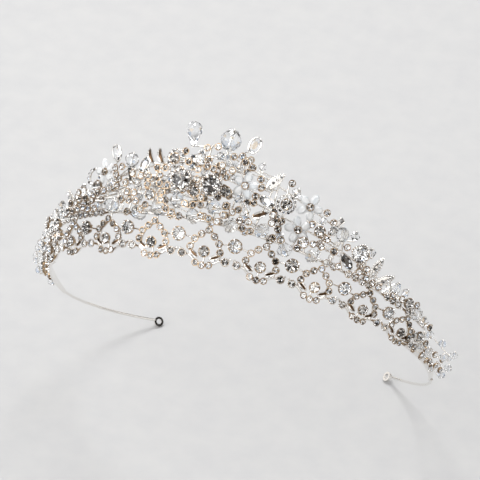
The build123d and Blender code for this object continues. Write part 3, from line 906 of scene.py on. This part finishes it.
class TIARA_OT_leaves(bpy.types.Operator):
    """Bend the polished leaves, the swag leaves and the pave leaves"""

    bl_idname = "tiara.leaves"
    bl_label = "Leaves"

    def execute(self, context):
        grain_radius = context.scene.tiara_metal.bead_grain

        def polished_leaf(size, number):
            return leaf(size[1], size[0] * 1.15, 0.4, dish=0.3, groove=0.25, curl=0.9)

        work = copies("polished_leaves", lying_seat, polished_leaf)
        # The second finish paints a dark streak of shade and reflection down each groove
        work.piece("polished_curved_leaves", "polished_leaves", "polished_silver_plate",
                   ["polished_silver_plate", "painted_shade_groove_plate"], smooth=50)

        def swag_leaf(size, number):
            return leaf(size[1], size[0] * 1.15, 0.45, dish=0.3, groove=0.25, curl=0.3)

        work = copies("swag_leaves", lying_seat, swag_leaf)
        work.piece("swag_curved_leaves", "swag_leaves", "polished_silver_plate",
                   ["polished_silver_plate", "painted_shade_groove_plate"], smooth=50)

        def pave_leaf(size, number):
            parts = [leaf(size[1], size[0], 0.45, dish=0.05, rows=16)]
            edge = 18
            for i in range(edge):
                share = (i % (edge // 2) + 0.5) / (edge // 2)
                half = size[0] / 2 * math.sin(math.pi * share ** 0.92) ** 0.8
                side = 1 if i < edge // 2 else -1
                parts.append(grain(grain_radius, (side * half, (share - 0.5) * size[1], 0.45)))
            return joined(*parts)

        work = copies("pave_leaves", lying_seat, pave_leaf)
        work.piece("beaded_pave_leaves", "pave_leaves", "cast_silver_plate", ["cast_silver_plate"], smooth=50)
        return {"FINISHED"}


class TIARA_OT_flowers(bpy.types.Operator):
    """Make the glass flowers, the filigree flowers and the ring links"""

    bl_idname = "tiara.flowers"
    bl_label = "Flowers and rings"

    def execute(self, context):
        grain_radius = context.scene.tiara_metal.bead_grain
        work = copies("crystal_petals", lying_seat,
                      lambda size, number: lens_petal(size[1], size[0], size[2] * 1.1))
        work.piece("cut_glass_petals", "crystal_petals", "cut_crystal", ["pressed_glass_petal"])

        def filigree_petal(size, number):
            loop = [(size[0] / 2 * math.cos(a) * 0.9, size[1] / 2 * math.sin(a) * 0.95, 0.35)
                    for a in np.linspace(0, 2 * math.pi, 16, endpoint=False)]
            vein = [(0, size[1] * (0.45 - 0.9 * i / 5), 0.35 + 0.12 * math.sin(math.pi * i / 5))
                    for i in range(6)]
            parts = [wire(loop, 0.2, closed=True), wire(vein, 0.14)]
            parts += [grain(0.22, (x * 0.98, y * 0.98, 0.5)) for x, y, z in loop[::2]]
            return joined(*parts)

        work = copies("filigree_flowers", lying_seat, filigree_petal)
        work.piece("filigree_wire_petals", "filigree_flowers", "cast_silver_plate",
                   ["cast_silver_plate"], smooth=60)

        def ring_link(size, number):
            radius = size[0] / 2 - 0.35
            thick = 0.33
            grains = 26
            ring = [(radius * math.cos(a), radius * math.sin(a), 0.3)
                    for a in np.linspace(0, 2 * math.pi, 36, endpoint=False)]
            parts = [wire(ring, thick, closed=True)]
            reach = radius + thick
            for i in range(grains):
                turn = 2 * math.pi * i / grains
                middle = reach * math.cos(turn), reach * math.sin(turn), 0.35
                parts.append(grain(grain_radius * 0.8, middle))
            return joined(*parts)

        work = copies("ring_links", face_seat, ring_link)
        work.piece("beaded_ring_links", "ring_links", "cast_silver_plate", ["cast_silver_plate"], smooth=60)

        def oval_link(size, number):
            loop = [((size[0] / 2 - 0.35) * math.cos(a), (size[1] / 2 - 0.35) * math.sin(a), 0.35)
                    for a in np.linspace(0, 2 * math.pi, 28, endpoint=False)]
            return joined(wire(loop, 0.35, sides=8, closed=True),
                          lens_petal(size[1] - 1.2, size[0] - 1.2, 0.8, finish_number=1))

        work = copies("oval_loops", lying_seat, oval_link)
        work.piece("rimmed_oval_drops", "oval_loops", "polished_silver_plate",
                   ["polished_silver_plate", "machine_cut_crystal"], smooth=35)
        return {"FINISHED"}


class TIARA_OT_long_stones(bpy.types.Operator):
    """Cut the baguettes and navettes and make their trays"""

    bl_idname = "tiara.long_stones"
    bl_label = "Baguettes and navettes"

    def execute(self, context):
        for kind, outline_of in (("baguette", baguette_outline), ("navette", navette_outline)):

            def setting(size, number):
                outline = outline_of(size[0] - 0.4, size[1] - 0.4)
                if kind == "baguette":
                    half, end = size[0] / 2, size[1] * 0.4
                    claws = [(x, y) for x in (-half, half) for y in (-end, end)]
                else:
                    claws = [(0, -size[1] * 0.46), (0, size[1] * 0.46)]
                return tray_setting(outline, size[2], claws)

            work = copies(f"{kind}_settings", lying_seat, setting)
            # The trays' second finish paints shade under each stone
            work.piece(f"{kind}_claw_trays", f"{kind}_settings", "cast_silver_plate",
                       ["cast_silver_plate", "dull_plate_painted_shade"], smooth=40)
            work = copies(f"{kind}_stones", lying_seat,
                          lambda size, number: long_stone(outline_of(size[0], size[1]), size[2]))
            work.piece(f"step_cut_{kind}s", f"{kind}_stones", "cut_crystal",
                       ["machine_cut_crystal", "foil_backing"])
        return {"FINISHED"}


class TIARA_OT_stage(bpy.types.Operator):
    """Set the floor, the lights, the sky and the camera"""

    bl_idname = "tiara.stage"
    bl_label = "Stage"

    def execute(self, context):
        scene = context.scene
        stage = scene.tiara_stage
        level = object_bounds()[0].z
        mesh = bpy.data.meshes.new("floor")
        reach = 6.0
        corners = ((-reach, -reach), (reach, -reach), (reach, reach), (-reach, reach))
        mesh.from_pydata([(x, y, level) for x, y in corners], [], [(0, 1, 2, 3)])
        mesh.materials.append(finish("matt_paper"))
        floor = bpy.data.objects.new("floor", mesh)
        scene.collection.objects.link(floor)
        floor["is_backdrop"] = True

        aim = Vector(stage.aim)
        key = aim, stage.key_azimuth, math.radians(58), 0.9
        fill = aim, stage.fill_azimuth, math.radians(35), 0.9
        self.light(scene, "key_softbox", stage.key_power, 0.45, *key)
        self.light(scene, "fill_softbox", stage.fill_power, 0.7, *fill)
        self.sky(scene, stage.sky)

        data = bpy.data.cameras.new("camera")
        data.lens = stage.lens
        data.sensor_width = 36
        data.clip_start, data.clip_end = 0.05, 20
        camera = bpy.data.objects.new("camera", data)
        back = self.direction(stage.azimuth, stage.elevation)
        camera.location = aim + back * stage.distance
        turn = (-back).to_track_quat("-Z", "Y").to_matrix() @ Matrix.Rotation(stage.roll, 3, "Z")
        camera.rotation_euler = turn.to_euler()
        scene.collection.objects.link(camera)
        scene.camera = camera
        scene.view_settings.view_transform = "Standard"
        return {"FINISHED"}

    def direction(self, azimuth, elevation):
        """Direction from the tiara to something at that azimuth and elevation."""
        level = math.cos(elevation)
        return Vector((math.sin(azimuth) * level, -math.cos(azimuth) * level, math.sin(elevation)))

    def light(self, scene, name, power, size, aim, azimuth, elevation, distance):
        """A square softbox that faces the aim."""
        data = bpy.data.lights.new(name, "AREA")
        data.energy = power
        data.size = size
        lamp = bpy.data.objects.new(name, data)
        towards = self.direction(azimuth, elevation)
        lamp.location = aim + towards * distance
        lamp.rotation_euler = towards.to_track_quat("Z", "Y").to_euler()
        scene.collection.objects.link(lamp)

    def sky(self, scene, strength):
        """Studio light, white overhead, with dark flags that polished metal and facets mirror as contrast."""
        scene.world = bpy.data.worlds.new("studio")
        scene.world.use_nodes = True
        tree = scene.world.node_tree
        tree.nodes.clear()
        place = add_node(tree, "ShaderNodeTexCoord").outputs["Generated"]
        split = add_node(tree, "ShaderNodeSeparateXYZ", links={"Vector": place})
        height = add_node(tree, "ShaderNodeValToRGB", links={"Fac": split.outputs["Z"]})
        colour_steps(height, [(0.0, "#D2CEC8"), (0.3, "#F2F0EE"), (1.0, "#FFFFFF")])
        room = add_node(tree, "ShaderNodeTexNoise", {"Scale": 2.6, "Detail": 1.0}, {"Vector": place})
        flags = add_node(tree, "ShaderNodeValToRGB", links={"Fac": room.outputs["Fac"]})
        colour_steps(flags, [(0.43, "#14110F"), (0.47, "#FFFFFF")])
        both = add_node(tree, "ShaderNodeMix", {"data_type": "RGBA", "blend_type": "MULTIPLY"})
        both.inputs["Factor"].default_value = 1.0
        # A Mix node's colour sockets share their names with its other types, so they are taken by number
        tree.links.new(height.outputs["Color"], both.inputs[6])
        tree.links.new(flags.outputs["Color"], both.inputs[7])
        light = add_node(tree, "ShaderNodeBackground", {"Strength": strength}, {"Color": both.outputs[2]})
        add_node(tree, "ShaderNodeOutputWorld", links={"Surface": light.outputs["Background"]})


class TIARA_PT_panel(bpy.types.Panel):
    """The tiara's pieces in the sidebar"""

    bl_idname = "TIARA_PT_panel"
    bl_label = "Bridal tiara"
    bl_space_type = "VIEW_3D"
    bl_region_type = "UI"
    bl_category = "Tiara"

    def draw(self, context):
        for group in SETTINGS:
            settings = getattr(context.scene, group)
            box = self.layout.box()
            for name in settings.bl_rna.properties.keys():
                if name not in ("rna_type", "name"):
                    box.prop(settings, name)
        for operator in OPERATORS:
            self.layout.operator(operator.bl_idname)


SETTINGS = {
    "tiara_face": TIARA_PG_face,
    "tiara_metal": TIARA_PG_metal,
    "tiara_crystal": TIARA_PG_crystal,
    "tiara_stage": TIARA_PG_stage,
}
OPERATORS = (
    TIARA_OT_band, TIARA_OT_settings, TIARA_OT_stones, TIARA_OT_beads, TIARA_OT_leaves,
    TIARA_OT_flowers, TIARA_OT_long_stones, TIARA_OT_stage)


def register():
    for cls in (*SETTINGS.values(), *OPERATORS, TIARA_PT_panel):
        bpy.utils.register_class(cls)
    for name, group in SETTINGS.items():
        setattr(bpy.types.Scene, name, PointerProperty(type=group))


def unregister():
    for name in SETTINGS:
        delattr(bpy.types.Scene, name)
    for cls in reversed((*SETTINGS.values(), *OPERATORS, TIARA_PT_panel)):
        bpy.utils.unregister_class(cls)


def main():
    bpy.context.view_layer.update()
    register()
    for operator in OPERATORS:
        group, name = operator.bl_idname.split(".")
        getattr(getattr(bpy.ops, group), name)()
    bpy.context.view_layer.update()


if __name__ == "__main__":
    main()
